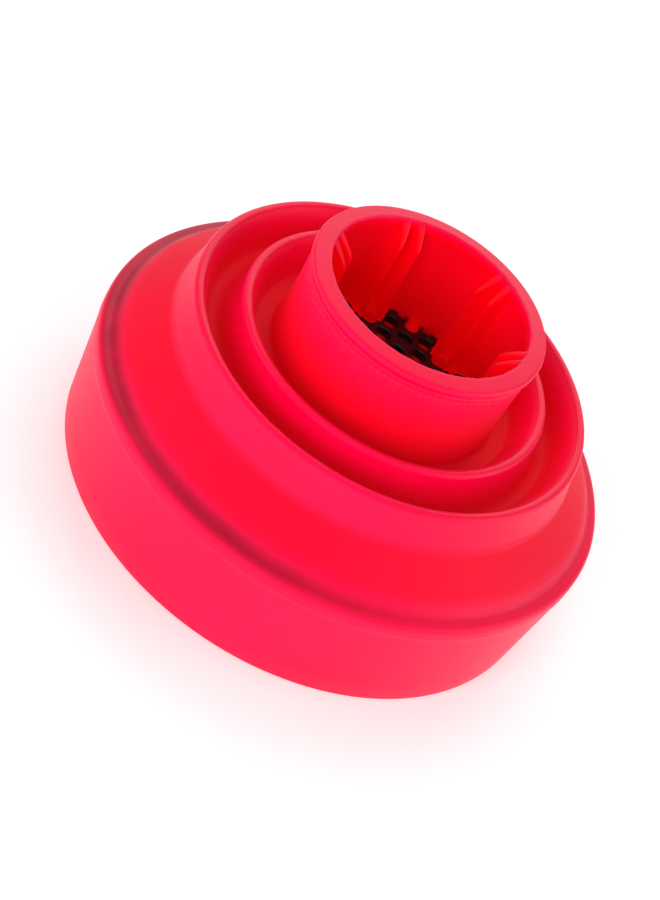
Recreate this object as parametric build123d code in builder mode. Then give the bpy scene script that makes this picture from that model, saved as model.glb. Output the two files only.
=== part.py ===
"""Collapsible silicone diffuser for a hair dryer, in millimetres.

The front rim stands on Z = 0 and +Z points towards the dryer, so the collar is at the top.
The soft body is one silicone moulding on the real thing. It is cut here at its living hinges
into rings that stay rigid and webs that roll over when the collar is pulled out.
"""

import os
from math import atan2, cos, degrees, radians, sin

from build123d import *

os.makedirs("parts", exist_ok=True)

# ---------------------------------------------------------------- driving sizes
# Collar: grips the nozzle of the dryer
nozzle_radius = 25.1
collar_wall = 3.4
lip_proud = 1.2
lip_height = 2.6
lip_round = 0.9
under_bead_proud = 0.7
under_bead_height = 2.0
land_height = 3.0
bore_relief = 0.4

# Soft walls
fold_wall = 2.0
crest_bend = 1.2
crest_sweep = 130.0
hinge_gap = 0.3

# Radial steps, from the collar outwards
collar_flange = 3.5
inner_step = 9.2
inner_valley_step = 5.2
outer_step = 11.3
wall_flare = 0.6
cone_run = 10.7
bead_proud = 3.5
skirt_taper = 3.0
skirt_wall = 2.2

# Heights, from the front rim upwards
skirt_height = 25.7
bead_height = 3.9
cone_height = 10.3
outer_wall_height = 11.0
inner_crest_rise = 1.7
lip_rise = 17.9
inner_web_depth = 8.6
outer_web_depth = 8.9
rim_round = 0.8

# Air grille at the foot of the collar
grille_drop = 26.9
grille_thickness = 2.4
grille_clearance = 0.1
grille_core_radius = 19.2
grille_hole_radius = 2.0
grille_pitch = 5.7
grille_seat_thickness = 1.8
grille_seat_width = 13.5
seat_hole_radius = 1.3
lug_count = 6
lug_width = 13.6
notch_width = 3.6
notch_depth = 4.4
pocket_width = 2.0
pocket_depth = 1.6
pocket_place = 3.6

# Grip fins inside the collar, in pairs that splay a little towards the axis
fin_reach = 6.1
fin_tip_reach = 5.4
fin_lead = 6.0
fin_width = 1.8
fin_root_spread = 1.85
fin_splay = 5.0

# Finger plate in the bowl
plate_thickness = 2.4
plate_clearance = 0.3
plate_drop = 0.6
seat_lip_width = 2.6
seat_lip_height = 2.0
vent_radius = 2.2
finger_pitch = 17.0
finger_rings = 3
finger_base_radius = 4.2
finger_tip_radius = 2.9
finger_recess = 3.0
finger_bore_radius = 1.3

# ---------------------------------------------------------------- worked-out places
collar_radius = nozzle_radius + collar_wall
sleeve_radius = nozzle_radius + bore_relief
inner_crest_radius = collar_radius + inner_step
outer_crest_radius = inner_crest_radius + outer_step
foot_radius = outer_crest_radius + crest_bend + wall_flare
groove_radius = foot_radius + cone_run
shoulder_radius = groove_radius + bead_proud
rim_radius = shoulder_radius - skirt_taper
collar_valley_radius = collar_radius + collar_flange
fold_valley_radius = inner_crest_radius + inner_valley_step

groove_z = skirt_height + bead_height
foot_z = groove_z + cone_height
outer_crest_z = foot_z + outer_wall_height
inner_crest_z = outer_crest_z + inner_crest_rise
lip_z = inner_crest_z + lip_rise
collar_valley_z = inner_crest_z - fold_wall / 2 - inner_web_depth
fold_valley_z = outer_crest_z - fold_wall / 2 - outer_web_depth

grille_top = lip_z - grille_drop
grille_bottom = grille_top - grille_thickness
collar_foot = grille_bottom - grille_seat_thickness
fin_top = lip_z - land_height

plate_top = skirt_height - plate_drop
plate_bottom = plate_top - plate_thickness
finger_length = plate_bottom - finger_recess

# The middle of each pair of fins lies halfway between two lugs of the grille
lug_step = 360 / lug_count
lug_bearings = [lug_step * index for index in range(lug_count)]
pair_bearings = [bearing + lug_step / 2 for bearing in lug_bearings]


def on_bearing(bearing):
    """A location turned about Z, where bearing 0 is +Y and bearings run clockwise from above."""
    return Location((0, 0, 0), (0, 0, 90 - bearing))


def crest_centre(radius, height):
    """The centre of the bend under a crest whose top is at the height."""
    return (radius, height - fold_wall / 2 - crest_bend)


def crest_start(radius, height):
    """Where the bend over a crest begins, on its inner side, and its direction there."""
    turn = radians(crest_sweep)
    middle = crest_centre(radius, height)
    point = (middle[0] + crest_bend * cos(turn), middle[1] + crest_bend * sin(turn))
    return point, (sin(turn), -cos(turn))


def skirt_inner_radius(height):
    """The radius of the inside of the tapered skirt at a height."""
    return rim_radius - skirt_wall + skirt_taper * height / skirt_height


def save(piece, name):
    """Label one finished piece and write it under its own name."""
    piece.label = name
    export_step(piece, f"parts/{name}.step")


# ---------------------------------------------------------------- collar sleeve
lip_radius = collar_radius + lip_proud
under_bead_radius = collar_radius + under_bead_proud
under_bead_z = lip_z - lip_height - under_bead_height
flange_top = collar_valley_z + fold_wall / 2
flange_bottom = collar_valley_z - fold_wall / 2
flange_radius = collar_valley_radius - hinge_gap

with BuildPart() as collar_sleeve:
    with BuildSketch(Plane.XZ) as collar_profile:
        with BuildLine():
            Polyline(
                (sleeve_radius, collar_foot),
                (sleeve_radius, fin_top),
                (nozzle_radius, fin_top),
                (nozzle_radius, lip_z),
                (lip_radius, lip_z),
                (lip_radius, lip_z - lip_height),
                (under_bead_radius, lip_z - lip_height),
                (under_bead_radius, under_bead_z),
                (collar_radius, under_bead_z),
                (collar_radius, flange_top),
                (flange_radius, flange_top),
                (flange_radius, flange_bottom),
                (collar_radius, flange_bottom),
                (collar_radius, collar_foot),
                close=True,
            )
        make_face()
        fillet(collar_profile.vertices().group_by(Axis.Y)[-1].sort_by(Axis.X)[-1], radius=lip_round)
    revolve(axis=Axis.Z)
save(collar_sleeve.part, "collar_sleeve")

# ---------------------------------------------------------------- grip fins, in six pairs
def fin_plane(bearing, side):
    """The middle plane of one fin: its X runs inwards from the wall and its Y runs up."""
    wall_depth = (sleeve_radius**2 - fin_root_spread**2) ** 0.5
    turned = Location((0, 0, 0), (0, 0, 90 - bearing))
    root = (turned * Location((wall_depth, side * fin_root_spread, 0))).position
    inwards = Vector(-1, 0, 0).rotate(Axis.Z, 90 - bearing - side * fin_splay)
    return Plane(origin=root, x_dir=inwards, z_dir=inwards.cross(Vector(0, 0, 1)))


for number, bearing in enumerate(pair_bearings, start=1):
    with BuildPart() as grip_fins:
        for side in (-1, 1):
            with BuildSketch(fin_plane(bearing, side)):
                with BuildLine():
                    lead = Spline(
                        (0, fin_top),
                        (fin_tip_reach, fin_top - fin_lead),
                        tangents=((1, -0.25), (0.15, -1)),
                    )
                    Polyline(
                        lead @ 1,
                        (fin_reach, grille_top),
                        (-fin_width, grille_top),
                        (-fin_width, fin_top),
                        lead @ 0,
                    )
                make_face()
            extrude(amount=fin_width / 2, both=True)
        with Locations((0, 0, lip_z / 2)):
            Cylinder(sleeve_radius, lip_z * 2, mode=Mode.INTERSECT)
    save(grip_fins.part, f"grip_fin_pair_{number}")

# ---------------------------------------------------------------- collar web
crest_point, crest_direction = crest_start(inner_crest_radius, inner_crest_z)
with BuildPart() as collar_web:
    with BuildSketch(Plane.XZ):
        with BuildLine():
            Spline(
                (collar_valley_radius, collar_valley_z),
                crest_point,
                tangents=((1, 0), crest_direction),
            )
        trace(line_width=fold_wall)
    revolve(axis=Axis.Z)
save(collar_web.part, "collar_web")

# ---------------------------------------------------------------- inner fold ring
inner_bend_side = (inner_crest_radius + crest_bend, crest_centre(inner_crest_radius, inner_crest_z)[1])
with BuildPart() as inner_fold_ring:
    with BuildSketch(Plane.XZ):
        with BuildLine():
            CenterArc(crest_centre(inner_crest_radius, inner_crest_z), crest_bend, crest_sweep, -crest_sweep)
            Spline(
                inner_bend_side,
                (fold_valley_radius - hinge_gap, fold_valley_z),
                tangents=((0, -1), (1, 0)),
            )
        trace(line_width=fold_wall)
    revolve(axis=Axis.Z)
save(inner_fold_ring.part, "inner_fold_ring")

# ---------------------------------------------------------------- fold web
crest_point, crest_direction = crest_start(outer_crest_radius, outer_crest_z)
with BuildPart() as fold_web:
    with BuildSketch(Plane.XZ):
        with BuildLine():
            Spline(
                (fold_valley_radius, fold_valley_z),
                crest_point,
                tangents=((1, 0), crest_direction),
            )
        trace(line_width=fold_wall)
    revolve(axis=Axis.Z)
save(fold_web.part, "fold_web")

# ---------------------------------------------------------------- outer fold ring
outer_bend_side = (outer_crest_radius + crest_bend, crest_centre(outer_crest_radius, outer_crest_z)[1])
with BuildPart() as outer_fold_ring:
    with BuildSketch(Plane.XZ):
        with BuildLine():
            CenterArc(crest_centre(outer_crest_radius, outer_crest_z), crest_bend, crest_sweep, -crest_sweep)
            Spline(outer_bend_side, (foot_radius, foot_z), tangents=((0, -1), (cone_run, -cone_height)))
        trace(line_width=fold_wall)
    revolve(axis=Axis.Z)
save(outer_fold_ring.part, "outer_fold_ring")

# ---------------------------------------------------------------- shoulder cone
with BuildPart() as shoulder_cone:
    with BuildSketch(Plane.XZ):
        with BuildLine():
            Line((foot_radius, foot_z), (groove_radius, groove_z))
        trace(line_width=fold_wall)
    revolve(axis=Axis.Z)
save(shoulder_cone.part, "shoulder_cone")

# ---------------------------------------------------------------- bowl skirt
cone_length = (cone_run**2 + cone_height**2) ** 0.5
across = (fold_wall / 2 * cone_height / cone_length, fold_wall / 2 * cone_run / cone_length)
cone_end_outer = (groove_radius + across[0], groove_z + across[1])
cone_end_inner = (groove_radius - across[0], groove_z - across[1])

with BuildPart() as bowl_skirt:
    with BuildSketch(Plane.XZ) as skirt_profile:
        with BuildLine():
            Line(cone_end_inner, cone_end_outer)
            Spline(
                cone_end_outer,
                (shoulder_radius, skirt_height),
                tangents=((cone_run, -cone_height / 3), (-0.05, -1)),
            )
            Polyline(
                (shoulder_radius, skirt_height),
                (rim_radius, 0),
                (rim_radius - skirt_wall, 0),
                (skirt_inner_radius(plate_top + hinge_gap), plate_top + hinge_gap),
                cone_end_inner,
            )
        make_face()
        fillet(skirt_profile.vertices().group_by(Axis.Y)[0], radius=rim_round)
    revolve(axis=Axis.Z)
save(bowl_skirt.part, "bowl_skirt")

# ---------------------------------------------------------------- lip that holds the finger plate
with BuildPart() as plate_seat_lip:
    with BuildSketch(Plane.XZ):
        with BuildLine():
            Polyline(
                (skirt_inner_radius(plate_bottom), plate_bottom),
                (skirt_inner_radius(plate_bottom) - seat_lip_width, plate_bottom),
                (skirt_inner_radius(plate_bottom - seat_lip_height), plate_bottom - seat_lip_height),
                close=True,
            )
        make_face()
    revolve(axis=Axis.Z)
save(plate_seat_lip.part, "plate_seat_lip")

# ---------------------------------------------------------------- throat grille
def hex_points(pitch, reach):
    """Points of a triangular grid about the origin, with a column along Y, out to a reach."""
    count = int(reach / pitch) + 2
    points = []
    for column in range(-count, count + 1):
        for row in range(-count, count + 1):
            x = column * pitch * cos(radians(30))
            y = (row + 0.5 * (column % 2)) * pitch
            if x * x + y * y <= reach * reach:
                points.append((x, y))
    return points


grille_radius = sleeve_radius - grille_clearance
hole_points = hex_points(grille_pitch, grille_radius)
notch_start = grille_radius - notch_depth


def lug_outline(core, edge, width):
    """A flat star: a round core with a straight-sided lug on each lug bearing, cut off at an edge."""
    with BuildSketch() as star:
        Circle(core)
        for bearing in lug_bearings:
            with Locations(on_bearing(bearing)):
                Rectangle(edge * 2, width, align=(Align.MIN, Align.CENTER))
        Circle(edge, mode=Mode.INTERSECT)
    return star.sketch


def notches(start, width, reach):
    """Slots with round inner ends that open outwards, one on each lug bearing."""
    with BuildSketch() as slots:
        for bearing in lug_bearings:
            with Locations(on_bearing(bearing)):
                with Locations((start + width / 2, 0)):
                    Circle(width / 2)
                    Rectangle(reach, width, align=(Align.MIN, Align.CENTER))
    return slots.sketch


def faces_a_lug(point):
    """True for a grid point that stands in line with one of the lugs."""
    off_line = degrees(atan2(point[0], point[1])) % lug_step
    return min(off_line, lug_step - off_line) < 1


wide_points = [point for point in hole_points if faces_a_lug(point)]
narrow_points = [point for point in hole_points if not faces_a_lug(point)]

grille_star = lug_outline(grille_core_radius, grille_radius, lug_width)
grille_notches = notches(notch_start, notch_width, sleeve_radius)

with BuildPart() as throat_grille:
    with BuildSketch(Plane.XY.offset(grille_bottom)):
        add(grille_star)
        with Locations(*[point for point in hole_points if Vector(*point).length < notch_start]):
            Circle(grille_hole_radius, mode=Mode.SUBTRACT)
        add(grille_notches, mode=Mode.SUBTRACT)
        for bearing in lug_bearings:
            with Locations(on_bearing(bearing)):
                with Locations((grille_radius, pocket_place), (grille_radius, -pocket_place)):
                    Rectangle(pocket_depth * 2, pocket_width, mode=Mode.SUBTRACT)
    extrude(amount=grille_thickness)
save(throat_grille.part, "throat_grille")

# ---------------------------------------------------------------- silicone seat round the grille
seat_inner_radius = sleeve_radius - grille_seat_width
opening_star = lug_outline(
    grille_core_radius + grille_clearance,
    sleeve_radius,
    lug_width + 2 * grille_clearance,
)

with BuildPart() as grille_seat:
    with BuildSketch(Plane.XY.offset(collar_foot)):
        Circle(sleeve_radius)
        Circle(seat_inner_radius, mode=Mode.SUBTRACT)
    extrude(amount=grille_seat_thickness)
    with BuildSketch(Plane.XY.offset(grille_bottom)):
        Circle(sleeve_radius)
        add(opening_star, mode=Mode.SUBTRACT)
    extrude(amount=grille_thickness)
    with BuildSketch(Plane.XY.offset(collar_foot)):
        with Locations(*narrow_points):
            Circle(seat_hole_radius)
        with Locations(*wide_points):
            Circle(grille_hole_radius)
    extrude(amount=grille_seat_thickness, mode=Mode.SUBTRACT)
    with BuildSketch(Plane.XY.offset(grille_bottom)):
        with Locations(*narrow_points):
            Circle(grille_hole_radius)
    extrude(amount=grille_thickness, mode=Mode.SUBTRACT)
save(grille_seat.part, "grille_seat")

# ---------------------------------------------------------------- silicone keys in the notches
with BuildPart() as collar_keys:
    with BuildSketch(Plane.XY.offset(grille_bottom)):
        add(notches(notch_start + grille_clearance, notch_width - 2 * grille_clearance, sleeve_radius))
        Circle(sleeve_radius, mode=Mode.INTERSECT)
    extrude(amount=grille_thickness)
save(collar_keys.part, "collar_keys")

# ---------------------------------------------------------------- finger plate
plate_radius = skirt_inner_radius(plate_bottom) - plate_clearance
finger_points = hex_points(finger_pitch, finger_rings * finger_pitch + 1)
finger_clear = finger_base_radius + vent_radius
vent_reach = plate_radius - seat_lip_width - vent_radius - 1
vent_points = [
    point
    for point in hex_points(finger_pitch / 2, vent_reach)
    if all((point[0] - x) ** 2 + (point[1] - y) ** 2 > finger_clear**2 for x, y in finger_points)
]

with BuildPart() as finger_plate:
    with BuildSketch(Plane.XY.offset(plate_bottom)):
        Circle(plate_radius)
        with Locations(*vent_points):
            Circle(vent_radius, mode=Mode.SUBTRACT)
        with Locations(*finger_points):
            Circle(finger_bore_radius, mode=Mode.SUBTRACT)
    extrude(amount=plate_thickness)
save(finger_plate.part, "finger_plate")

# ---------------------------------------------------------------- hollow fingers, by ring
finger_profile = [
    (finger_bore_radius, 0),
    (finger_base_radius, 0),
    (finger_tip_radius, -finger_length + finger_tip_radius),
]


def finger(place):
    """One hollow finger that hangs from the plate, with a domed tip and an air hole."""
    dome = 45
    dome_centre = finger_length - finger_tip_radius
    with BuildSketch(Plane.XZ) as outline:
        with BuildLine():
            Polyline((finger_bore_radius, 0), *finger_profile[1:])
            tip = ThreePointArc(
                (finger_tip_radius, -dome_centre),
                (finger_tip_radius * cos(radians(dome)), -dome_centre - finger_tip_radius * sin(radians(dome))),
                (finger_bore_radius, -dome_centre - (finger_tip_radius**2 - finger_bore_radius**2) ** 0.5),
            )
            Line(tip @ 1, (finger_bore_radius, 0))
        make_face()
    return place * revolve(outline.sketch, axis=Axis.Z)


def ring_of(point):
    """The number of the hexagonal ring that a finger stands in."""
    columns = abs(point[0]) / (finger_pitch * cos(radians(30)))
    rows = abs(point[1]) / finger_pitch
    return round(max(columns, rows + columns / 2))


ring_names = ["centre_finger", "inner_fingers", "middle_fingers", "outer_fingers"]
for ring, name in enumerate(ring_names[: finger_rings + 1]):
    places = [Location((x, y, plate_bottom)) for x, y in finger_points if ring_of((x, y)) == ring]
    fingers = [finger(place) for place in places]
    with BuildPart() as finger_ring:
        add(fingers)
    save(finger_ring.part, name)
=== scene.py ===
# %% [markdown]
# # A collapsible silicone diffuser for a hair dryer
#
# The real thing is one red silicone moulding that folds into itself like a travel cup. A black
# grille sits at the foot of its collar, and a black plate with fingers sits in its bowl. The
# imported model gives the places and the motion. This script gives each part its shape and finish.

# %% Load the frame
from math import acos, asin, cos, pi, radians, sin, sqrt

import bmesh
import bpy
from mathutils import Matrix, Vector
from mathutils.geometry import delaunay_2d_cdt


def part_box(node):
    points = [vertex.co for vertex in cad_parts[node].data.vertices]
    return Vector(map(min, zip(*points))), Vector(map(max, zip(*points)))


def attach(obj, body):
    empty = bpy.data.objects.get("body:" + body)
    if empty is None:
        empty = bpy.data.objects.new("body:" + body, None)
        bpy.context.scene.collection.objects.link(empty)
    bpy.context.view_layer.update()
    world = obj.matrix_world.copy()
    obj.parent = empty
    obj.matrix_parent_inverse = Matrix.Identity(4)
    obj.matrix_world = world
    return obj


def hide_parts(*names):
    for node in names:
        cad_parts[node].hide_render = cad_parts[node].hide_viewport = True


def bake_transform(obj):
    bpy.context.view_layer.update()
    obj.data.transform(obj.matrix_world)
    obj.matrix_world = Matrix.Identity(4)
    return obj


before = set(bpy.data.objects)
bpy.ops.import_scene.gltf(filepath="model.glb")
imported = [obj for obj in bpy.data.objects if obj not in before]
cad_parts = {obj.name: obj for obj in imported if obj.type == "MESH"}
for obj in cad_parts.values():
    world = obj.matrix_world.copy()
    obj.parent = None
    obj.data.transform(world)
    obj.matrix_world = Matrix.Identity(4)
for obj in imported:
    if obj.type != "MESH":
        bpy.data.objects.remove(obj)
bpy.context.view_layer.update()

print("nodes:", len(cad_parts))

# %% [markdown]
# ## Sizes
#
# A diffuser is drawn in millimetres, so the shapes below are too, and they turn into metres only
# when a mesh is made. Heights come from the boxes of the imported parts, so that each new mesh
# lies where its part lies. The few values that a box can't give are named here.

# %% Take the sizes
mm = 0.001


def corners(node):
    """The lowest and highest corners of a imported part, in millimetres."""
    low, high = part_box(node)
    return low / mm, high / mm


collar_low, collar_high = corners("collar_sleeve")
grille_low, grille_high = corners("throat_grille")
inner_low, inner_high = corners("inner_fold_ring")
outer_low, outer_high = corners("outer_fold_ring")
skirt_low, skirt_high = corners("bowl_skirt")
plate_low, plate_high = corners("finger_plate")
finger_low, finger_high = corners("centre_finger")

lip_z = collar_high.z
bore_radius = 25.1
sleeve_radius = 25.5
collar_radius = 28.5
lip_radius = 29.7
under_bead_radius = 29.2

wall = 2.0
crest_wall = 1.3
bend = 0.7
collar_valley = Vector((collar_high.x + 0.3, corners("collar_web")[0].z + wall / 2))
inner_valley = Vector((inner_high.x + 0.3, inner_low.z + wall / 2))
inner_crest = Vector((37.7, inner_high.z - crest_wall / 2 - bend))
outer_crest = Vector((49.0, outer_high.z - crest_wall / 2 - bend))
crest_sweep = radians(130)

groove = Vector((61.5, 29.6))
foot = Vector((50.8, groove.y + 10.3))
shoulder = Vector((skirt_high.x, 25.7))
rim_radius = 62.0
skirt_wall = 2.2

print("lip height", round(lip_z, 2), "mm, shoulder", round(shoulder.x * 2, 2), "mm across")

# %% [markdown]
# ## Camera
#
# The camera stands in front of the diffuser and looks down at its collar. It leans to one side,
# which lays the round body out along a slope across the frame. A long lens keeps the near and
# far rims close to the same size, as in a catalogue.

# %% Place the camera
scene = bpy.context.scene
camera_place = Vector((-0.0004, -0.5606, 0.4630))
camera_tilt = radians(51.46)
camera_lean = radians(33.06)

camera = bpy.data.objects.new("camera", bpy.data.cameras.new("camera"))
scene.collection.objects.link(camera)
camera.data.lens = 120
camera.data.sensor_width = 36
camera.data.dof.use_dof = False
camera.matrix_world = (
    Matrix.Translation(camera_place)
    @ Matrix.Rotation(camera_tilt, 4, "X")
    @ Matrix.Rotation(camera_lean, 4, "Z")
)
scene.camera = camera
print("camera", round(camera_place.length, 3), "m from the middle of the rim")

# %% [markdown]
# ## Light
#
# Satin silicone shows its form through wide, soft reflections, so the lamps are large panels
# close to the object, as in a light tent. The one behind shines off every face that looks up,
# so it draws pale lines along the lip and the crests, and two more stand at the sides. The fill
# lamp is low in front and has no reflection of its own, so it leaves the folds deep and the
# walls a pure red. The plain colour setting keeps that red saturated.

# %% Hang the lamps
scene.view_settings.view_transform = "Standard"
scene.world = bpy.data.worlds.new("tent")
scene.world.use_nodes = True
tent = scene.world.node_tree.nodes["Background"]
tent.inputs["Color"].default_value = (1, 1, 1, 1)
tent.inputs["Strength"].default_value = 0.42


def hang_lamp(name, place, size, power, shines=True):
    """A square soft panel that faces the object. One that doesn't shine leaves no reflection."""
    lamp = bpy.data.objects.new(name, bpy.data.lights.new(name, "AREA"))
    scene.collection.objects.link(lamp)
    lamp.data.size = size
    lamp.data.energy = power
    lamp.visible_glossy = shines
    facing = (Vector((0, 0, 0.03)) - Vector(place)).to_track_quat("-Z", "Y")
    lamp.matrix_world = Matrix.Translation(place) @ facing.to_matrix().to_4x4()
    print(name, power, "W")


hang_lamp("back_panel", (-0.10, 0.60, 0.48), 0.8, 3.4)
hang_lamp("left_panel", (-0.62, -0.20, 0.22), 0.5, 0.5)
hang_lamp("right_panel", (0.55, 0.05, 0.20), 0.5, 1.3)
hang_lamp("front_fill", (-0.12, -0.62, 0.20), 0.4, 3.4, shines=False)

# %% [markdown]
# ## Floor
#
# The diffuser stands on its rim on a plain white sheet, which lights the skirt from below. The
# sheet is large enough to fill the view from any side.

# %% Lay the floor
floor_size = 3.0
floor_mesh = bmesh.new()
bmesh.ops.create_grid(floor_mesh, x_segments=8, y_segments=8, size=floor_size)
floor_data = bpy.data.meshes.new("floor")
floor_mesh.to_mesh(floor_data)
floor_mesh.free()
floor = bpy.data.objects.new("floor", floor_data)
scene.collection.objects.link(floor)

floor_paper = bpy.data.materials.new("white_paper")
floor_paper.use_nodes = True
paper_shader = floor_paper.node_tree.nodes["Principled BSDF"]
paper_shader.inputs["Base Color"].default_value = (0.93, 0.93, 0.93, 1)
paper_shader.inputs["Roughness"].default_value = 0.9
paper_shader.inputs["Emission Color"].default_value = (1, 1, 1, 1)
paper_shader.inputs["Emission Strength"].default_value = 0.22
floor_data.materials.append(floor_paper)
print("floor", 2 * floor_size, "m wide")

# %% [markdown]
# ## Arithmetic for finishes
#
# A finish is a sum of patterns: broad mottling, fine grain, a shaded band. Writing that as
# ordinary arithmetic is easier to read than wiring boxes by hand, so this class stands for one
# output of a node, and its operators add the Math nodes. Its one other method adds any node.

# %% Wrap a socket
class Pattern:
    """A value that varies over a surface, as an output socket in a material's nodes."""

    def __init__(self, tree, socket=None):
        self.tree = tree
        self.socket = socket

    def add(self, kind, settings=None, inputs=None, output=0):
        """Add a node: its settings first, then the values or links of its sockets."""
        node = self.tree.nodes.new(kind)
        for name, value in (settings or {}).items():
            if name == "stops":
                for stop, (place, shade) in zip(node.color_ramp.elements, value):
                    stop.position = place
                    stop.color = (*shade, 1)
            else:
                setattr(node, name, value)
        for key, value in (inputs or {}).items():
            if isinstance(value, Pattern):
                self.tree.links.new(value.socket, node.inputs[key])
            else:
                node.inputs[key].default_value = value
        return Pattern(self.tree, node.outputs[output])

    def maths(self, operation, *values):
        """A Math node on some values or patterns."""
        return self.add("ShaderNodeMath", {"operation": operation}, dict(enumerate(values)))

    def __add__(self, other):
        return self.maths("ADD", self, other)

    def __sub__(self, other):
        return self.maths("SUBTRACT", self, other)

    def __rsub__(self, other):
        return self.maths("SUBTRACT", other, self)

    def __mul__(self, other):
        return self.maths("MULTIPLY", self, other)

    def __truediv__(self, other):
        return self.maths("DIVIDE", self, other)

    __radd__ = __add__
    __rmul__ = __mul__

    def band(self, start, end):
        """0 before start, 1 after end, and smooth between them. The ends may be in either order."""
        settings = {"interpolation_type": "SMOOTHSTEP"}
        inputs = {"Value": self, "From Min": start, "From Max": end}
        return self.add("ShaderNodeMapRange", settings, inputs)


def noise(where, per_metre, detail=2.0, roughness=0.5):
    """Soft random shapes, so many to a metre."""
    inputs = {"Vector": where, "Scale": per_metre, "Detail": detail, "Roughness": roughness}
    return where.add("ShaderNodeTexNoise", {}, inputs, "Fac")


def mix_colours(amount, low, high):
    """A colour between two others."""
    colours = {"A": low, "B": high}
    ends = {6: colours["A"], 7: colours["B"], 0: amount}
    return amount.add("ShaderNodeMix", {"data_type": "RGBA"}, ends, 2)


print("operators:", [name for name in ("__add__", "__rsub__", "__mul__") if hasattr(Pattern, name)])


# %% [markdown]
# ## Red silicone
#
# Moulded silicone is a deep, even red with a satin skin. Its surface isn't perfect: the colour
# is a little cloudy, the polish of the mould differs from place to place, and the skin has a
# very fine grain. The grain is far too small to model, so it is bump, while every line and
# rib that can be seen is in the meshes. Silicone also lets some light through, and part of it
# scatters under the skin. Below the lip, the inside of the collar has a painted glow: a purer red
# and a small red emission, which stand in for light that comes through the thin wall. Down in
# the folds and on the shoulder cone the red is painted deeper and loses its last blue, as
# painted shade for light that bounces from red to red. A soft dark band of painted shade lies
# in the groove above the skirt, stronger on one side.

# %% Mix the red silicone
def new_finish(name):
    """A fresh material, with its main shader and a Pattern for the place on the piece."""
    finish = bpy.data.materials.new(name)
    finish.use_nodes = True
    shader = finish.node_tree.nodes["Principled BSDF"]
    where = Pattern(finish.node_tree).add("ShaderNodeTexCoord", output="Object")
    return finish, shader, where


def feed(shader, name, pattern):
    """Link a pattern to one socket of a shader."""
    pattern.tree.links.new(pattern.socket, shader.inputs[name])


def red_silicone(name, fold_shade_weight=1.0, groove_shade_weight=0.0):
    """The satin red of the body, with painted shade deeper in its folds, a painted glow inside the mouth, and
    with or without painted shade in the groove.
    """
    finish, shader, where = new_finish(name)
    cloud = noise(where, 28, 3.0)
    smear = noise(where, 110, 4.0, 0.6)
    grain = noise(where, 1500, 2.0)
    speck = noise(where, 4200, 1.0)

    aside, ahead, height = [where.add("ShaderNodeSeparateXYZ", {}, {0: where}, axis) for axis in range(3)]
    mouth_size = (aside * aside + ahead * ahead) / mm**2
    on_collar = mouth_size.band(33.0**2, 31.0**2)
    # Painted shade: down the collar, in the webs and on the shoulder cone below the outer fold, these masks mark
    # where the folds lie in shade.
    collar_shade = on_collar * height.band(66 * mm, 52 * mm)
    web_shade = (1.0 - on_collar) * height.band(51 * mm, 42 * mm)
    cone_shade = height.band(31 * mm, 34 * mm) * height.band(43 * mm, 39 * mm)
    painted_fold_shade = fold_shade_weight * (collar_shade + web_shade) + (1.0 - fold_shade_weight) * 0.7 * cone_shade
    on_crest = (1.0 - on_collar) * height.band(49.4 * mm, 50.4 * mm)
    # Painted glow: inside the mouth, from just below the lip, the base red is made purer and a faint red
    # emission is added, in place of light coming through the thin collar.
    painted_mouth_glow = mouth_size.band(26.0**2, 25.3**2) * height.band(lip_z * mm, (lip_z - 2.5) * mm)
    # Painted shade: a soft dark band in the groove above the skirt, stronger towards -X and broken up by noise.
    near_groove = height.band(28.0 * mm, 30.0 * mm) * height.band(32.8 * mm, 30.4 * mm)
    painted_groove_shade = groove_shade_weight * near_groove * (0.3 + 0.7 * aside.band(0.045, -0.015)) * (0.6 + 0.8 * smear)
    body_red = mix_colours(cloud.band(0.3, 0.7), (0.92, 0.0006, 0.048, 1), (0.96, 0.0012, 0.058, 1))
    # Painted shade: the fold mask mixes the body red towards a deeper red with almost no blue.
    fold_shade_red = mix_colours(painted_fold_shade, body_red, (0.86, 0.0002, 0.016, 1))
    mouth_glow_red = mix_colours(painted_mouth_glow, fold_shade_red, (0.95, 0.0002, 0.012, 1))
    # The base colour ends with the painted groove shade mixed over the red.
    feed(shader, "Base Color", mix_colours(painted_groove_shade, mouth_glow_red, (0.40, 0.004, 0.030, 1)))
    # Painted glow: a faint red emission inside the mouth, though no lamp is there.
    feed(shader, "Emission Color", mix_colours(painted_mouth_glow, (0, 0, 0, 1), (0.10, 0, 0, 1)))
    shader.inputs["Emission Strength"].default_value = 1.0
    feed(shader, "Roughness", 0.34 + 0.10 * smear + 0.08 * grain + 0.30 * painted_fold_shade - 0.07 * on_crest)
    skin = {"Height": 0.6 * grain + 0.4 * speck, "Strength": 0.10, "Distance": 0.15 * mm}
    feed(shader, "Normal", where.add("ShaderNodeBump", {}, skin, "Normal"))
    shader.inputs["IOR"].default_value = 1.32
    shader.inputs["Specular IOR Level"].default_value = 0.36
    shader.inputs["Subsurface Weight"].default_value = 0.12
    shader.inputs["Subsurface Scale"].default_value = 1.0
    shader.inputs["Subsurface Radius"].default_value = (0.005, 0.0006, 0.0008)
    print(name, "has", len(finish.node_tree.nodes), "nodes")
    return finish


silicone = red_silicone("red_silicone_satin")
bowl_silicone = red_silicone("red_silicone_bowl", fold_shade_weight=0.0, groove_shade_weight=0.9)


# %% [markdown]
# ## Black plastics
#
# The grille is polished black plastic, so its rounded edges catch small bright lights. The
# finger plate touches hair and scalp, and is usually a satin black with a spark-eroded grain,
# which hides scratches. One helper makes both, with other numbers.

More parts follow.
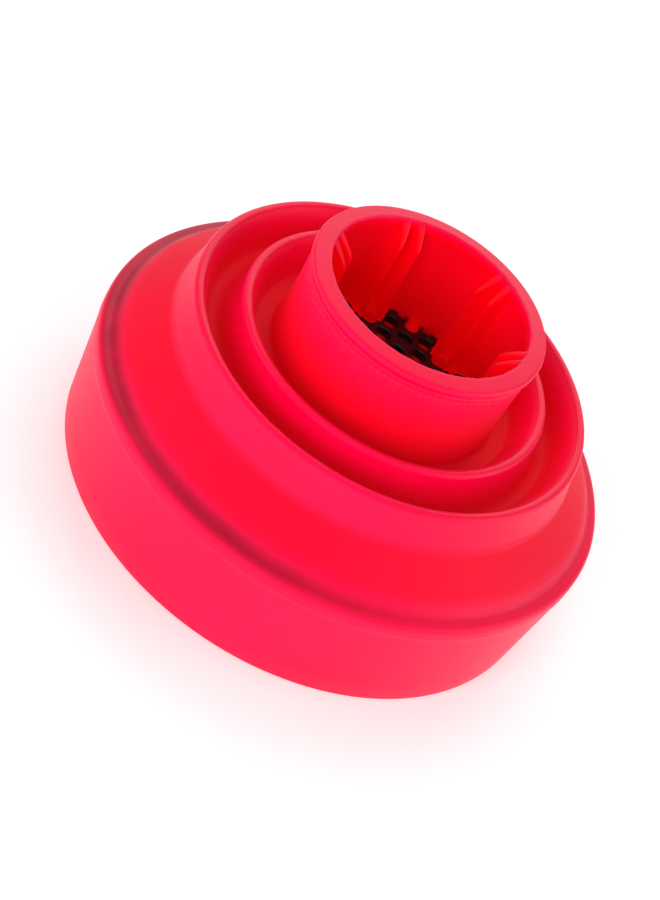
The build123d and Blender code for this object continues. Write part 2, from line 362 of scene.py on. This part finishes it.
# %% Mix the black plastics
def black_plastic(name, tint, gloss, grain_depth, coat):
    """Moulded black plastic, with a gloss range from lowest to highest roughness."""
    finish, shader, where = new_finish(name)
    cloud = noise(where, 60, 3.0)
    scuff = noise(where, 420, 5.0, 0.65)
    grain = noise(where, 2600, 2.0, 0.6)
    light_tint = tuple(1.8 * part for part in tint)
    feed(shader, "Base Color", mix_colours(cloud.band(0.35, 0.75), (*tint, 1), (*light_tint, 1)))
    feed(shader, "Roughness", gloss[0] + (gloss[1] - gloss[0]) * (0.5 * scuff + 0.5 * grain))
    skin = {"Height": grain, "Strength": 0.5, "Distance": grain_depth * mm}
    feed(shader, "Normal", where.add("ShaderNodeBump", {}, skin, "Normal"))
    shader.inputs["Coat Weight"].default_value = coat
    shader.inputs["Specular IOR Level"].default_value = 0.35
    shader.inputs["Coat Roughness"].default_value = 0.12
    print(name, "has", len(finish.node_tree.nodes), "nodes")
    return finish


grille_black = black_plastic("gloss_black_grille", (0.007, 0.012, 0.015), (0.12, 0.26), 0.01, 0.15)
finger_black = black_plastic("satin_black_fingers", (0.012, 0.012, 0.013), (0.38, 0.55), 0.06, 0.0)


# %% [markdown]
# ## Turning round pieces
#
# Nearly every piece is round about one axis, as if turned on a lathe. So a piece is drawn as a
# half section, a closed loop of radius and height, and swept round. This keeps the rows of faces
# even, which smooth shading needs, and a soft wall of even thickness needs only its middle line.

# %% Draw and turn a section
around = 240


def swoop(start, start_way, end, end_way, count=24, pull=0.36):
    """A smooth line between two points that leaves and arrives in given directions."""
    length = (end - start).length
    first = start + Vector(start_way).normalized() * length * pull
    second = end - Vector(end_way).normalized() * length * pull
    line = []
    for step in range(count + 1):
        t = step / count
        line.append(
            start * (1 - t) ** 3 + first * 3 * t * (1 - t) ** 2 + second * 3 * t * t * (1 - t) + end * t**3
        )
    return line


def arc(centre, radius, start, end, count=12):
    """Part of a circle, from one angle to another."""
    turns = [start + (end - start) * step / count for step in range(count + 1)]
    return [centre + Vector((cos(turn), sin(turn))) * radius for turn in turns]


def sides_of(line, thickness):
    """The two sides of a wall along a middle line. thickness is one number, or one a point."""
    left, right = [], []
    widths = thickness if isinstance(thickness, list) else [thickness] * len(line)
    for index, point in enumerate(line):
        before = line[max(index - 1, 0)]
        after = line[min(index + 1, len(line) - 1)]
        along = (after - before).normalized()
        across = Vector((-along.y, along.x)) * widths[index] / 2
        left.append(point + across)
        right.append(point - across)
    return left, right


def turn_section(mesh, section, steps, centre=(0, 0), swell=None):
    """Sweep a closed section about an upright axis. swell may add to a radius at a place."""
    rings = []
    for step in range(steps):
        turn = 2 * pi * step / steps
        ring = []
        for radius, height in section:
            reach = radius + (swell(turn, radius, height) if swell else 0)
            place = (centre[0] + reach * cos(turn), centre[1] + reach * sin(turn), height)
            ring.append(mesh.verts.new(Vector(place) * mm))
        rings.append(ring)
    for step, ring in enumerate(rings):
        following = rings[(step + 1) % steps]
        for here in range(len(section)):
            there = (here + 1) % len(section)
            mesh.faces.new((ring[here], following[here], following[there], ring[there]))


def make_piece(name, mesh, finish, nodes, body=None, crease=40):
    """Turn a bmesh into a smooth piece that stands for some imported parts."""
    bmesh.ops.recalc_face_normals(mesh, faces=mesh.faces)
    data = bpy.data.meshes.new(name)
    mesh.to_mesh(data)
    mesh.free()
    data.shade_smooth()
    data.set_sharp_from_angle(angle=radians(crease))
    data.materials.append(finish)
    piece = bpy.data.objects.new(name, data)
    scene.collection.objects.link(piece)
    if body:
        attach(piece, body)
    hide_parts(*nodes)
    print(name, len(data.polygons), "faces")
    return piece


# %% [markdown]
# ## Collar
#
# The collar grips the dryer's nozzle. It has a thick rolled lip with a flat face, a second bead
# just below it, and fine upright ridges for the fingers, which fade out down the wall. All of
# that is round except the ridges, so it is one turned section whose radius swells a little in
# a wave. Many steps round are needed here to give each ridge its own rounded top.

# %% Turn the collar
ridge_count = 98
ridge_height = 0.32
ridge_top = lip_z - 4.9
ridge_foot = ridge_top - 8.4
steps_per_ridge = 8


def ridges(turn, radius, height):
    """How far the finger ridges stand out, and how the mouth's edge wavers."""
    if radius < sleeve_radius + 0.3 and height > lip_z - 3:
        return 0.05 * sin(23 * turn) + 0.04 * sin(41 * turn + 1)
    if abs(radius - collar_radius) > 0.02 or not ridge_foot < height < ridge_top:
        return 0
    fade = min((height - ridge_foot) / 5.0, (ridge_top - height) / 0.5, 1)
    return ridge_height * fade * (1 - abs(sin(ridge_count * turn / 2)) ** 1.5)


def point_list(*places):
    """Points of a section, given as radius and height."""
    return [Vector(place) for place in places]


flange_top = collar_valley.y + wall / 2
flange_bottom = collar_valley.y - wall / 2
fillet = 1.3
line_z = flange_top + 1.9
lip_foot = lip_z - 2.6
collar_section = point_list(
    (sleeve_radius + 0.3, collar_low.z),
    (collar_radius - 0.4, collar_low.z),
    (collar_radius, collar_low.z + 0.4),
    (collar_radius, flange_bottom - 0.5),
    (collar_radius + 0.5, flange_bottom),
    (collar_valley.x, flange_bottom),
    (collar_valley.x, flange_top),
)
collar_section += arc(Vector((collar_radius + fillet, flange_top + fillet)), fillet, -pi / 2, -pi, 6)
collar_section += point_list(
    (collar_radius + 0.2, line_z - 0.25),
    (collar_radius + 0.2, line_z + 0.1),
    (collar_radius, line_z + 0.35),
)
collar_section += [Vector((collar_radius, ridge_foot - 4 + step)) for step in range(5)]
collar_section += [Vector((collar_radius, ridge_foot + 0.42 * step)) for step in range(1, 21)]
collar_section += arc(Vector((under_bead_radius - 0.7, lip_foot - 1.1)), 0.7, -pi / 2.2, pi / 2.2, 8)
collar_section += point_list(
    (collar_radius + 0.3, lip_foot - 0.15),
    (collar_radius + 0.45, lip_foot),
    (lip_radius - 0.3, lip_foot + 0.05),
    (lip_radius - 0.06, lip_foot + 0.3),
    (lip_radius, lip_foot + 0.7),
)
collar_section += arc(Vector((lip_radius - 0.8, lip_z - 1.35)), 0.8, 0, pi / 2 - 0.2, 8)
collar_section += point_list((28.0, lip_z - 0.38), (27.0, lip_z - 0.22), (26.2, lip_z - 0.08))
collar_section += arc(Vector((bore_radius + 0.6, lip_z - 0.6)), 0.6, pi / 2, pi, 6)
collar_section += point_list(
    (bore_radius, lip_z - 2.4),
    (bore_radius + 0.1, lip_z - 3.0),
    (sleeve_radius, lip_z - 3.6),
    (sleeve_radius, lip_z - 9),
    (sleeve_radius, lip_z - 17),
    (sleeve_radius, collar_low.z + 0.3),
)

collar_mesh = bmesh.new()
turn_section(collar_mesh, collar_section, ridge_count * steps_per_ridge, swell=ridges)
make_piece("soft_collar", collar_mesh, silicone, ["collar_sleeve"], "collar")

# %% [markdown]
# ## Soft fins
#
# Six pairs of slim ribs line the mouth. They bend aside as a nozzle goes in, so that one collar
# fits several dryers. Each starts at the lip's inner edge, slopes inwards, and then runs
# down to the grille. A rib is lofted: a rounded closed outline is drawn at each height
# and joined to the next, which lets both its width and its reach change on the way down.

# %% Loft the fins
fin_spread = 1.85
fin_splay = radians(5)
fin_depths = [0.35, 0.6, 1.0, 1.6, 2.3, 3.1, 4.0, 4.8, 5.5, 6.3, 7.5, 9.5, 12, 15, 18, 21, 24]
fin_root = 1.6


def fin_reach(depth):
    """How far a rib stands in from the wall, at a depth below the lip."""
    lead = min(depth / 5.6, 1)
    slope = 5.5 * (1 - (1 - lead) ** 1.35)
    return slope - 0.1 + 0.6 * max(depth - 5.6, 0) / 20


def fin_half_width(depth):
    """Half the width of a rib's inner edge: wide at the lip, and slim further down."""
    return 0.42 + 0.78 * max(1 - depth / 6, 0)


def fin_outline(depth, count=10):
    """A rib's outline at a depth: inward and sideways distances, from its root round its edge."""
    reach = fin_reach(depth)
    half = fin_half_width(depth)
    edge = min(half, reach + fin_root - 0.3)
    foot_half = max(half, 0.85)
    outline = [(-fin_root, foot_half + 0.5), (-0.35, foot_half + 0.4), (0.3, foot_half + 0.1)]
    outline = [(min(inward, reach - edge), side) for inward, side in outline]
    for step in range(count + 1):
        turn = pi / 2 - pi * step / count
        outline.append((reach - edge + edge * cos(turn), half * sin(turn)))
    mirrored = [(inward, -side) for inward, side in outline[2::-1]]
    return outline + mirrored


def loft(mesh, outlines):
    """Join closed outlines of equal length into one closed skin."""
    rows = [[mesh.verts.new(Vector(point) * mm) for point in outline] for outline in outlines]
    for row, following in zip(rows, rows[1:]):
        for here in range(len(row)):
            there = (here + 1) % len(row)
            mesh.faces.new((row[here], row[there], following[there], following[here]))
    mesh.faces.new(rows[0])
    mesh.faces.new(rows[-1][::-1])


def place_fin(bearing, side, inward, sideways, height):
    """A point of a rib, from its own directions to the collar's."""
    out = radians(90 - bearing)
    lean = out - side * fin_splay
    depth = sqrt(sleeve_radius**2 - fin_spread**2)
    root = Vector((depth * cos(out), depth * sin(out))) + Vector((-sin(out), cos(out))) * side * fin_spread
    inwards = Vector((-cos(lean), -sin(lean)))
    across = Vector((-inwards.y, inwards.x))
    point = root + inwards * inward + across * sideways
    return (point.x, point.y, height)


pair_count = 6
for number in range(1, pair_count + 1):
    bearing = 360 / pair_count * (number - 0.5)
    fin_mesh = bmesh.new()
    for side in (-1, 1):
        rows = []
        for depth in fin_depths + [lip_z - grille_high.z - 0.02]:
            outline = fin_outline(depth)
            rows.append([place_fin(bearing, side, x, y, lip_z - depth) for x, y in outline])
        loft(fin_mesh, rows)
    node = f"grip_fin_pair_{number}"
    make_piece(f"soft_fins_{number}", fin_mesh, silicone, [node], "collar", 50)

# %% [markdown]
# ## Flat plates with holes
#
# The grille, the flange round it and the finger plate are all flat plates full of round holes
# with softened edges. Cutting solids from solids leaves ragged faces, so the plate is first
# cut in the flat: outlines and holes go into one triangulation, and a triangle stays if it is
# inside the outline and outside every hole. Then each edge left over grows a rounded rim.

# %% Cut a plate
def circle(middle, radius, count=28):
    """Points round a circle."""
    turns = [2 * pi * step / count for step in range(count)]
    return [Vector(middle) + Vector((cos(turn), sin(turn))) * radius for turn in turns]


def cut_flat(outlines, holes):
    """The flat region inside some outlines and outside the holes: its points and triangles."""
    points, faces = [], []
    for loop in outlines + holes:
        faces.append(range(len(points), len(points) + len(loop)))
        points += loop
    faces = [list(face) for face in faces]
    found = delaunay_2d_cdt(points, [], faces, 1, 1e-5)
    kept = []
    for triangle, owners in zip(found[2], found[5]):
        inside = any(owner < len(outlines) for owner in owners)
        in_hole = any(owner >= len(outlines) for owner in owners)
        if inside and not in_hole:
            kept.append(triangle)
    return found[0], kept


def rim_directions(points, triangles):
    """The free edges of a flat region, and how each of their points moves for an even inset."""
    edges = {}
    for a, b, c in triangles:
        for edge in ((a, b), (b, c), (c, a)):
            if edge[::-1] in edges:
                del edges[edge[::-1]]
            else:
                edges[edge] = True
    pulls = {}
    for a, b in edges:
        along = (points[b] - points[a]).normalized()
        inwards = Vector((-along.y, along.x))
        pulls.setdefault(a, []).append(inwards)
        pulls.setdefault(b, []).append(inwards)
    moves = {}
    for index, pair in pulls.items():
        middle = sum(pair, Vector((0, 0))).normalized()
        moves[index] = middle / max(middle.dot(pair[0]), 0.6)
    return edges, moves


def add_plate(mesh, outlines, holes, bottom, top, soft, steps=4):
    """A plate between two heights whose edges are rounded by the amount soft."""
    points, triangles = cut_flat(outlines, holes)
    edges, moves = rim_directions(points, triangles)
    rim = []
    for step in range(steps + 1):
        turn = pi / 2 * step / steps
        rim.append((soft * (1 - sin(turn)), top - soft * (1 - cos(turn))))
    rim += [(inset, bottom + top - height) for inset, height in rim[::-1]]
    rows = []
    for inset, height in rim:
        row = {}
        for index, move in moves.items():
            point = points[index] + move * inset
            row[index] = mesh.verts.new(Vector((point.x, point.y, height)) * mm)
        rows.append(row)
    for row, following in zip(rows, rows[1:]):
        for a, b in edges:
            mesh.faces.new((row[a], row[b], following[b], following[a]))
    for a, b, c in triangles:
        mesh.faces.new((rows[0][a], rows[0][b], rows[0][c]))
        mesh.faces.new((rows[-1][c], rows[-1][b], rows[-1][a]))


def hex_points(pitch, reach):
    """Points of a triangular grid about the axis, with a column along Y, out to a reach."""
    count = int(reach / pitch) + 2
    points = []
    for column in range(-count, count + 1):
        for row in range(-count, count + 1):
            point = Vector((column * cos(radians(30)), row + 0.5 * (column % 2))) * pitch
            if point.length <= reach:
                points.append(point)
    return points


print("a grid of 5.7 mm out to 25 mm has", len(hex_points(5.7, 25)), "points")

# %% [markdown]
# ## Grille
#
# The grille keeps hair out of the dryer. It is a round core with six square lugs that lock into
# the silicone, and each lug has a notch for a soft key and a small pocket either side of it. The
# outline is drawn lug by lug, and the holes follow one hexagonal grid. The one hole in each lug
# is closed by a sunken disc.

# %% Make the grille
lug_count = 6
lug_half = 6.8
core_radius = 19.2
lug_reach = grille_high.y
hole_pitch = 5.7
hole_radius = 2.0
notch_half = 1.8
notch_start = 21.0
pocket_near = 2.6
pocket_far = 4.6
pocket_floor = 23.8
grille_holes = hex_points(hole_pitch, 25.4)


def turned(points, bearing):
    """Points given as outward and sideways distances, turned to face a bearing."""
    out = radians(90 - bearing)
    ahead = Vector((cos(out), sin(out)))
    left = Vector((-sin(out), cos(out)))
    return [ahead * u + left * v for u, v in points]


def edge_point(reach, side):
    """The point at a sideways distance that lies on a circle about the axis."""
    return (sqrt(reach**2 - side**2), side)


def star(core, reach, half, gap=0.0, notched=True):
    """A round core with straight-sided lugs, drawn clockwise lug by lug."""
    outline = []
    corner = asin(half / core)
    valley = 2 * pi / lug_count - 2 * corner
    for lug in range(lug_count):
        points = [edge_point(core, half), edge_point(reach, half)]
        if notched:
            points += [edge_point(reach, pocket_far), (pocket_floor, pocket_far)]
            points += [(pocket_floor, pocket_near), edge_point(reach, pocket_near)]
            points.append(edge_point(reach, notch_half))
            for step in range(11):
                turn = pi / 2 + pi * step / 10
                points.append((notch_start + notch_half + notch_half * cos(turn), notch_half * sin(turn)))
            points.append(edge_point(reach, -notch_half))
            points += [edge_point(reach, -pocket_near), (pocket_floor, -pocket_near)]
            points += [(pocket_floor, -pocket_far), edge_point(reach, -pocket_far)]
        points += [edge_point(reach, -half), edge_point(core, -half)]
        for step in range(1, 6):
            turn = -corner - valley * step / 6
            points.append((core * cos(turn), core * sin(turn)))
        outline += turned(points, lug * 360 / lug_count)
    return outline[::-1]


grille_mesh = bmesh.new()
through = [circle(point, hole_radius) for point in grille_holes if point.length < notch_start]
grille_star = star(core_radius, lug_reach, lug_half)
add_plate(grille_mesh, [grille_star], through, grille_low.z, grille_high.z, 0.45)
plugs = [circle(turned([(3 * hole_pitch, 0)], 60 * lug)[0], hole_radius + 0.2) for lug in range(lug_count)]
add_plate(grille_mesh, plugs, [], grille_low.z + 0.3, grille_high.z - 0.9, 0.2)
make_piece("gloss_grille", grille_mesh, grille_black, ["throat_grille"], "collar", 60)

# %% [markdown]
# ## Seat and keys
#
# The silicone holds the grille in three ways: a ledge under it, a flange that fills the gaps
# between its lugs, and six keys in its notches. Small holes in the ledge leave a soft red
# crescent at the bottom of each grille hole. The pieces run a little into the collar's wall,
# as they are one moulding with it.

# %% Make the seat and the keys
seat_reach = sleeve_radius + 0.6
seat_inner = 12.0
seat_hole = 1.3


def faces_a_lug(point):
    """True for a grid point that stands in line with one of the lugs."""
    if point.length < 0.1:
        return True
    bearing = acos(point.normalized().y) * 180 / pi
    off_line = bearing % (360 / lug_count)
    return min(off_line, 360 / lug_count - off_line) < 1


narrow = [point for point in grille_holes if not faces_a_lug(point)]
wide = [point for point in grille_holes if faces_a_lug(point)]
ledge_holes = [circle(point, seat_hole) for point in narrow]
ledge_holes += [circle(point, hole_radius) for point in wide]
ledge_holes.append(circle((0, 0), seat_inner, 96))
flange_holes = [circle(point, hole_radius) for point in narrow]
flange_holes.append(star(core_radius + 0.1, seat_reach + 1, lug_half + 0.1, notched=False))

seat_mesh = bmesh.new()
add_plate(seat_mesh, [circle((0, 0), seat_reach, 96)], ledge_holes, collar_low.z + 0.1, grille_low.z - 0.02, 0.3)
add_plate(seat_mesh, [circle((0, 0), seat_reach, 96)], flange_holes, grille_low.z - 0.1, grille_high.z, 0.4)
make_piece("soft_grille_seat", seat_mesh, silicone, ["grille_seat"], "collar", 60)

key_half = notch_half - 0.1
key_points = [(seat_reach, key_half)]
for step in range(13):
    turn = pi / 2 + pi * step / 12
    key_points.append((notch_start + 0.1 + key_half + key_half * cos(turn), key_half * sin(turn)))
key_points.append((seat_reach, -key_half))
key_outlines = [turned(key_points, 60 * lug) for lug in range(lug_count)]
key_mesh = bmesh.new()
add_plate(key_mesh, key_outlines, [], grille_low.z - 0.1, grille_high.z, 0.9, 6)
make_piece("soft_keys", key_mesh, silicone, ["collar_keys"], "collar", 60)

# %% [markdown]
# ## Folds
#
# Between the collar and the bowl the wall goes down and up twice. Each fold has a stiff rounded
# crest, which keeps its shape, and a web that rolls over when the collar is pulled out. The
# stiff rings ride on one body. Each web is turned here as a still piece that rides on no body.

# %% Turn the folds
tuck = 0.5


def crest_line(crest):
    """The bend over a crest, from the web's side to the outside."""
    return arc(crest, bend, crest_sweep, 0, 16)


def growing(start, end, count):
    """Thicknesses that change smoothly from one end of a line to the other."""
    shares = [step / (count - 1) for step in range(count)]
    return [start + (end - start) * share * share * (3 - 2 * share) for share in shares]


def web_section(valley, crest):
    """A rolling wall, with thinner tails that run inside its neighbours."""
    hinge = crest_line(crest)[0]
    rising = Vector((sin(crest_sweep), -cos(crest_sweep)))
    line = swoop(valley, (1, 0), hinge, rising, 32)
    left, right = sides_of(line, growing(wall, crest_wall, len(line)))
    slim = Vector((0, wall / 2 - 0.12))
    across = Vector((-rising.y, rising.x)) * (crest_wall / 2 - 0.12)
    back = Vector((tuck, 0))
    section = [valley + slim - back, valley + slim] + left
    section += [hinge + across, hinge + rising * tuck + across, hinge + rising * tuck - across, hinge - across]
    section += right[::-1] + [valley - slim, valley - slim - back]
    return section, hinge


def make_web(name, valley, crest, node):
    """A web from a valley up to a crest, as a still piece that rides on no body."""
    section, hinge = web_section(valley, crest)
    mesh = bmesh.new()
    turn_section(mesh, section, around)
    web = make_piece(name, mesh, silicone, [node])
    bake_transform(web)


make_web("soft_collar_web", collar_valley, inner_crest, "collar_web")
make_web("soft_fold_web", inner_valley, outer_crest, "fold_web")

fold_side = Vector((inner_crest.x + bend, inner_crest.y))
fold_line = crest_line(inner_crest) + swoop(fold_side, (0, -1), inner_valley, (1, 0), 28)[1:]
fold_widths = [crest_wall] * 17 + growing(crest_wall, wall, len(fold_line) - 17)
fold_left, fold_right = sides_of(fold_line, fold_widths)
fold_mesh = bmesh.new()
turn_section(fold_mesh, fold_left + fold_right[::-1], around)
make_piece("soft_inner_fold", fold_mesh, silicone, ["inner_fold_ring"], "inner_fold")

# %% [markdown]
# ## Bowl
#
# The bowl is the part that cups the hair. From the outer crest its wall drops to a fine mould
# line, slopes out over the shoulder, dips into a groove, swells into a rounded bead and then
# runs straight down the skirt. On the real moulding that is one skin, so it is one section here,
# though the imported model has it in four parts.

# %% Turn the bowl
outer_side = Vector((outer_crest.x + bend, outer_crest.y))
cone_way = groove - foot
cone_across = Vector((-cone_way.y, cone_way.x)).normalized() * wall / 2
drop_end = foot + Vector((-0.05, 1.3))
cone_start = foot + cone_way * 0.07
drop_line = swoop(outer_side, (0, -1), drop_end, (0.1, -1), 30)
foot_line = swoop(drop_end, (0.1, -1), cone_start, cone_way, 6)
wall_line = crest_line(outer_crest) + drop_line[1:] + foot_line[1:]
wall_widths = [crest_wall] * 17 + growing(crest_wall, wall, len(wall_line) - 17)
outside, inside = sides_of(wall_line, wall_widths)

bowl_outside = list(outside)
bowl_outside += [foot.lerp(groove, share) + cone_across for share in (0.25, 0.45, 0.65, 0.82)]
groove_start = bowl_outside[-1]
groove_floor = Vector((groove.x + 1.4, groove.y + 0.2))
bead_side = Vector((shoulder.x, shoulder.y + 2.2))
bowl_outside += swoop(groove_start, cone_way, groove_floor, (1, -0.16), 10)[1:]
bowl_outside += swoop(groove_floor, (1, -0.16), bead_side, (0, -1), 14, 0.42)[1:]
skirt_top = Vector((shoulder.x - 0.16, shoulder.y - 0.1))
bowl_outside += [Vector((shoulder.x, shoulder.y + 1)), shoulder + Vector((-0.02, 0.15)), skirt_top]
rim_corner = Vector((rim_radius, 0))
for share in (0.02, 0.25, 0.5, 0.75, 0.96):
    bowl_outside.append(skirt_top.lerp(rim_corner, share))

mould_line_z = foot.y + 1.9


def mould_line(turn, radius, height):
    """The fine raised line that the mould leaves above the foot of the outer wall."""
    if radius < foot.x or abs(height - mould_line_z) > 0.6:
        return 0
    return 0.14 * max(1 - abs(height - mould_line_z) / 0.35, 0)


rim_bend = 0.8
rim_outer = arc(Vector((rim_radius - rim_bend, rim_bend)), rim_bend, 0, -pi / 2, 6)
rim_inner = arc(Vector((rim_radius - skirt_wall + rim_bend, rim_bend)), rim_bend, -pi / 2, -pi, 6)


def skirt_inside(height):
    """The radius of the inside of the skirt at a height."""
    return rim_radius - skirt_wall + (shoulder.x - rim_radius) * height / shoulder.y


seat_foot = plate_low.z - 2.0
bowl_inside = [Vector((skirt_inside(height), height)) for height in (3, 8, 14, seat_foot)]
bowl_inside += [
    Vector((skirt_inside(plate_low.z) - 2.4, plate_low.z - 0.35)),
    Vector((skirt_inside(plate_low.z) - 2.3, plate_low.z - 0.02)),
    Vector((skirt_inside(plate_low.z), plate_low.z - 0.02)),
    Vector((skirt_inside(plate_high.z), plate_high.z + 0.3)),
    groove - cone_across,
]
bowl_inside += [foot.lerp(groove, share) - cone_across for share in (0.8, 0.5, 0.2)]
bowl_section = bowl_outside + rim_outer + rim_inner + bowl_inside + inside[::-1]

bowl_mesh = bmesh.new()
turn_section(bowl_mesh, bowl_section, around, swell=mould_line)
bowl_nodes = ["outer_fold_ring", "shoulder_cone", "bowl_skirt", "plate_seat_lip"]
make_piece("soft_bowl", bowl_mesh, bowl_silicone, bowl_nodes, "bowl", 35)

# %% [markdown]
# ## Finger plate
#
# The plate snaps in above a lip in the bowl. Air comes through its vents, and also through
# the hollow fingers that lift the hair. The vents fill the grid between the fingers.

# %% Make the plate and its fingers
finger_pitch = 17.0
finger_rings = 3
finger_base = 4.2
finger_tip = 2.9
finger_bore = 1.3
vent_radius = 2.2
plate_radius = plate_high.x
finger_points = hex_points(finger_pitch, finger_rings * finger_pitch + 1)
vent_points = []
for point in hex_points(finger_pitch / 2, plate_radius - 2.6 - vent_radius - 1):
    if all((point - other).length > finger_base + vent_radius for other in finger_points):
        vent_points.append(point)

plate_mesh = bmesh.new()
plate_holes = [circle(point, vent_radius) for point in vent_points]
plate_holes += [circle(point, finger_bore, 16) for point in finger_points]
add_plate(plate_mesh, [circle((0, 0), plate_radius, 180)], plate_holes, plate_low.z, plate_high.z, 0.4)
make_piece("satin_finger_plate", plate_mesh, finger_black, ["finger_plate"], "bowl", 60)
print("fingers", len(finger_points), "vents", len(vent_points))

# %% [markdown]
# Each finger is a small turned section of its own: a soft foot where it meets the plate, a
# slight taper, a round tip that won't scratch, and an air hole through it. The rings of
# fingers are told apart by how many steps of the grid they are from the middle.

# %% Turn the fingers
finger_foot = finger_high.z + 0.05
tip_middle = Vector((0, finger_low.z + finger_tip))
finger_section = [Vector((finger_bore, finger_foot))]
foot_middle = Vector((finger_base + 0.75, finger_high.z - 0.75))
finger_section += [Vector((finger_base + 0.75, finger_foot))]
finger_section += arc(foot_middle, 0.75, pi / 2, pi, 5)
finger_section += [Vector((finger_base, foot_middle.y)).lerp(tip_middle + Vector((finger_tip, 0)), 0.5)]
mouth_turn = -acos((finger_bore + 0.35) / finger_tip)
finger_section += arc(tip_middle, finger_tip, 0, mouth_turn, 9)
finger_section += arc(
    Vector((finger_bore + 0.35, tip_middle.y + finger_tip * sin(mouth_turn) + 0.35)), 0.35, -pi / 2, -pi, 4
)


def ring_of(point):
    """The number of the hexagonal ring that a finger stands in."""
    columns = abs(point.x) / (finger_pitch * cos(radians(30)))
    rows = abs(point.y) / finger_pitch
    return round(max(columns, rows + columns / 2))


for ring, ring_name in enumerate(["centre_finger", "inner_fingers", "middle_fingers", "outer_fingers"]):
    ring_mesh = bmesh.new()
    for point in finger_points:
        if ring_of(point) == ring:
            turn_section(ring_mesh, finger_section, 28, point)
    make_piece("satin_" + ring_name, ring_mesh, finger_black, [ring_name], "bowl", 50)
